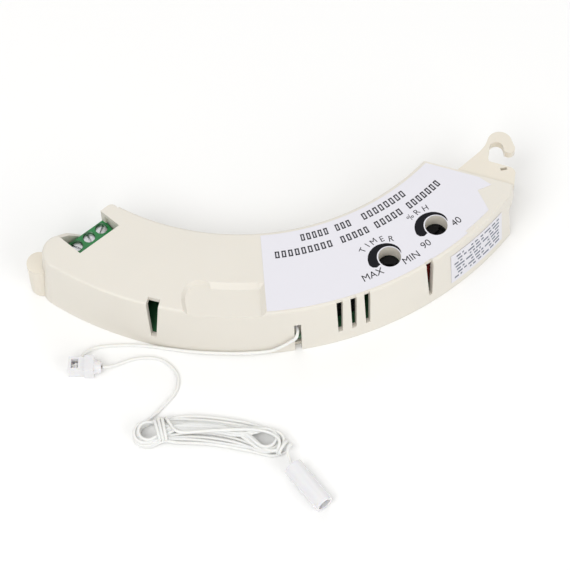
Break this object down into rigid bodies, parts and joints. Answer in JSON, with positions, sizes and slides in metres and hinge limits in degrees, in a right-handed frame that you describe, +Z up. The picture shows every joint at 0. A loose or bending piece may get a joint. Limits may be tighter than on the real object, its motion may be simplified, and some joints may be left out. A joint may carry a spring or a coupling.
{
  "type": "pull cord switch",
  "caption": "Crescent-shaped pull-cord switch module with a run-on timer dial, a humidity dial, a mains terminal and a hanging cord with handle.",
  "frame": {"origin": "middle of the case's footprint, on the plane of its underside", "axes": "+X runs along the crescent's chord from the terminal to the hook, +Y from the cord slot towards the duct's axis, +Z up through the labelled face"},
  "size_m": [0.165, 0.1161, 0.0232],
  "materials": {
    "cover_plastic": "satin",
    "base_plastic": "satin",
    "label_film": "smooth film",
    "board_laminate": "solder mask",
    "screw_steel": "plated",
    "green_plastic": "moulded",
    "blue_plastic": "moulded",
    "black_plastic": "moulded",
    "white_plastic": "moulded",
    "red_resin": "dipped",
    "yellow_plastic": "moulded",
    "beige_resin": "dipped",
    "red_plastic": "moulded",
    "clamp_brass": "plated",
    "cord_nylon": "nylon cord",
    "clear_plastic": "translucent white"
  },
  "bodies": {
    "module": {"top_cover": "cover_plastic", "base_tray": "base_plastic", "top_label": "label_film", "side_label": "label_film", "circuit_board": "board_laminate", "board_screws": "screw_steel", "cover_screws": "screw_steel", "terminal_body": "green_plastic", "timer_pot_body": "blue_plastic", "humidity_pot_body": "blue_plastic", "humidity_sensor": "black_plastic", "relay": "black_plastic", "film_capacitor": "red_resin", "suppression_capacitor": "yellow_plastic", "electrolytic_capacitor": "black_plastic", "disc_varistor": "blue_plastic", "bridge_rectifier": "black_plastic", "control_chip": "black_plastic", "resistors": "beige_resin", "switch_body": "black_plastic", "switch_pins": "screw_steel", "lever_pin": "screw_steel", "return_spring": "screw_steel", "cord_guide": "white_plastic", "upper_cord": "cord_nylon", "connector_plug": "clear_plastic", "connector_socket": "clear_plastic", "lower_cord": "cord_nylon", "cord_hank": "cord_nylon", "pull_handle": "clear_plastic", "handle_knot": "cord_nylon"},
    "lever": {"cord_lever": "white_plastic", "cord_knot": "cord_nylon", "cord_tail": "cord_nylon"},
    "plunger": {"switch_plunger": "red_plastic"},
    "timer_knob": {"timer_dial": "black_plastic"},
    "humidity_knob": {"humidity_dial": "black_plastic"},
    "screw_1": {"terminal_screw_1": "screw_steel"},
    "clamp_1": {"terminal_clamp_1": "clamp_brass"},
    "screw_2": {"terminal_screw_2": "screw_steel"},
    "clamp_2": {"terminal_clamp_2": "clamp_brass"},
    "screw_3": {"terminal_screw_3": "screw_steel"},
    "clamp_3": {"terminal_clamp_3": "clamp_brass"}
  },
  "joints": [
    {"name": "lever_swing", "type": "hinge", "parent": "module", "child": "lever", "pos_m": [-0.00601, -0.0163, 0.01], "axis": [0, 0, -1], "range_deg": [0, 10], "stiffness_Nm_per_rad": 0.01, "springref_deg": -17.19},
    {"name": "plunger_slide", "type": "slide", "parent": "module", "child": "plunger", "axis": [0, 1, 0], "range_m": [0, 0.000977]},
    {"name": "timer_turn", "type": "hinge", "parent": "module", "child": "timer_knob", "pos_m": [0.03374, -0.01245, 0.0145], "axis": [0, 0, 1], "range_deg": [-135, 135]},
    {"name": "humidity_turn", "type": "hinge", "parent": "module", "child": "humidity_knob", "pos_m": [0.05084, -0.00349, 0.0145], "axis": [0, 0, 1], "range_deg": [-135, 135]},
    {"name": "screw_turn_1", "type": "hinge", "parent": "module", "child": "screw_1", "pos_m": [-0.05666, 0.01805, 0.014], "axis": [0, 0, -1], "range_deg": [0, 1440]},
    {"name": "clamp_rise_1", "type": "slide", "parent": "module", "child": "clamp_1", "axis": [0, 0, 1], "range_m": [0, 0.002]},
    {"name": "screw_turn_2", "type": "hinge", "parent": "module", "child": "screw_2", "pos_m": [-0.06104, 0.01547, 0.014], "axis": [0, 0, -1], "range_deg": [0, 1440]},
    {"name": "clamp_rise_2", "type": "slide", "parent": "module", "child": "clamp_2", "axis": [0, 0, 1], "range_m": [0, 0.002]},
    {"name": "screw_turn_3", "type": "hinge", "parent": "module", "child": "screw_3", "pos_m": [-0.06541, 0.01289, 0.014], "axis": [0, 0, -1], "range_deg": [0, 1440]},
    {"name": "clamp_rise_3", "type": "slide", "parent": "module", "child": "clamp_3", "axis": [0, 0, 1], "range_m": [0, 0.002]}
  ],
  "couplings": [
    {"joint": "lever_swing", "follows": "plunger_slide", "rad_per_m": 178.57},
    {"joint": "screw_turn_1", "follows": "clamp_rise_1", "rad_per_m": 12566},
    {"joint": "screw_turn_2", "follows": "clamp_rise_2", "rad_per_m": 12566},
    {"joint": "screw_turn_3", "follows": "clamp_rise_3", "rad_per_m": 12566}
  ]
}
